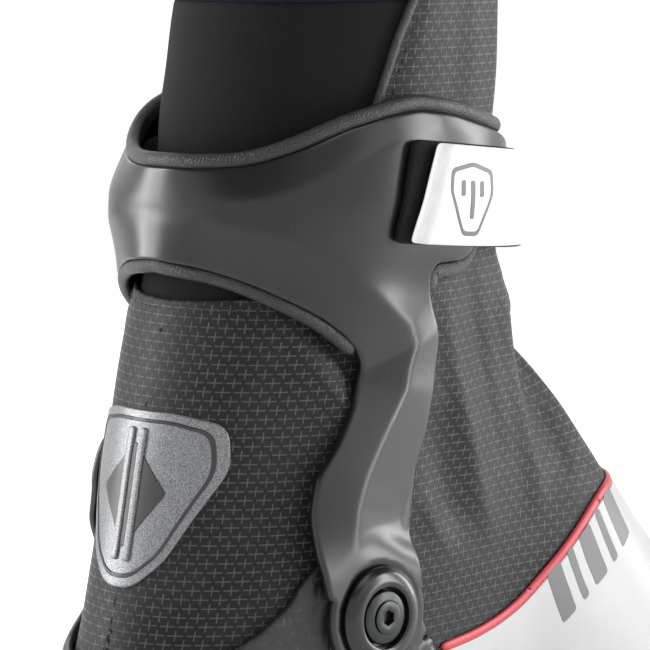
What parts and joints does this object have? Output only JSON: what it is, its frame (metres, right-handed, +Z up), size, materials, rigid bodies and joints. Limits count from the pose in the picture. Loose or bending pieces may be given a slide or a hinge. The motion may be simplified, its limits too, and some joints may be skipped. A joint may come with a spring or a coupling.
{
  "type": "cross country ski boot",
  "caption": "Right-foot skate boot for cross country skis: soft upper with a toe bar sole, and a hinged plastic ankle cuff closed by a hook-and-loop strap.",
  "frame": {"origin": "on the ground plane under the middle of the boot's box", "axes": "+X from heel to toe, +Y to the wearer's left (the medial side of this right boot), +Z up"},
  "size_m": [0.2994, 0.1088, 0.262],
  "materials": {
    "rubber": "matt moulded rubber",
    "carbon": "dark grey fibre reinforced plastic, satin",
    "steel": "satin turned steel",
    "foam": "dark closed cell foam",
    "softshell": "charcoal softshell with a fine raised cross print",
    "lining": "dark knitted lining on foam",
    "stiffener": "thermoformed stiffener sheet",
    "cord": "round braided lace",
    "black_plastic": "black moulded plastic, semi-gloss",
    "white_overlay": "white smooth overlay film",
    "red_trim": "red woven edge tape",
    "silver_patch": "speckled silver film",
    "zip_tape": "black zip tape with moulded teeth",
    "cuff_plastic": "black satin injection moulded plastic",
    "binding_trim": "padded synthetic leather edge binding",
    "neoprene": "neoprene faced with fine black twill",
    "hem_fleece": "dark navy brushed hem tape",
    "loop_fabric": "black brushed loop webbing",
    "washer_plastic": "low friction washer plastic"
  },
  "bodies": {
    "root": {"heel_tread": "rubber", "forefoot_tread": "rubber", "binding_block": "rubber", "sole_plate": "carbon", "heel_chassis": "carbon", "toe_bar": "steel", "pivot_screw_lateral": "steel", "pivot_screw_medial": "steel", "pivot_bush_lateral": "steel", "pivot_bush_medial": "steel", "midsole_board": "foam", "insole": "foam", "boot_cover": "softshell", "ankle_panel": "softshell", "inner_boot": "lining", "tongue": "lining", "eyestay_lateral": "lining", "eyestay_medial": "lining", "heel_counter": "stiffener", "toe_puff": "stiffener", "lace_lower": "cord", "lace_upper": "cord", "toe_overlay": "white_overlay", "overlay_piping": "red_trim", "heel_patch": "silver_patch", "zip_lower": "zip_tape"},
    "cuff": {"cuff_shell": "cuff_plastic", "cuff_top_rim": "binding_trim", "cuff_lower_rim": "binding_trim", "cuff_padding": "foam", "collar": "neoprene", "collar_hem": "hem_fleece", "cover_upper": "softshell", "zip_upper": "zip_tape", "strap_base": "loop_fabric", "ring_tab": "loop_fabric", "ring_rivet": "steel", "gaiter_piping_lateral": "binding_trim", "gaiter_piping_medial": "binding_trim", "pivot_washer_lateral": "washer_plastic", "pivot_washer_medial": "washer_plastic", "pivot_ring_lateral": "black_plastic", "pivot_ring_medial": "black_plastic"},
    "lace_lock_body": {"lace_lock": "black_plastic"},
    "ring": {"strap_ring": "steel"},
    "strap": {"strap_upper": "loop_fabric", "strap_tab": "white_overlay"},
    "slider": {"zip_slider": "steel"},
    "puller": {"zip_puller": "zip_tape"}
  },
  "joints": [
    {"name": "cuff_flex", "type": "hinge", "parent": "root", "child": "cuff", "pos_m": [-0.083, 0, 0.0875], "axis": [0, 1, 0], "range_deg": [-6, 20], "stiffness_Nm_per_rad": 6, "deforming": ["ankle_panel"]},
    {"name": "ring_swivel", "type": "hinge", "parent": "cuff", "child": "ring", "pos_m": [-0.04108, 0.05003, 0.1964], "axis": [0, 0, 1], "range_deg": [0, 40]},
    {"name": "strap_peel", "type": "hinge", "parent": "ring", "child": "strap", "pos_m": [-0.02839, 0.04622, 0.1964], "axis": [0, 0, 1], "range_deg": [0, 110]},
    {"name": "zip_slide", "type": "slide", "parent": "cuff", "child": "slider", "axis": [-0.0842, 0, -0.9965], "range_m": [0, 0.024]},
    {"name": "zip_puller_swing", "type": "hinge", "parent": "slider", "child": "puller", "pos_m": [-0.0059, 0.02032, 0.25061], "axis": [0.4537, -0.8903, -0.0383], "range_deg": [0, 170]},
    {"name": "lace_lock_slide", "type": "slide", "parent": "root", "child": "lace_lock_body", "axis": [-0.5828, 0, 0.8126], "range_m": [0, 0.005]}
  ]
}
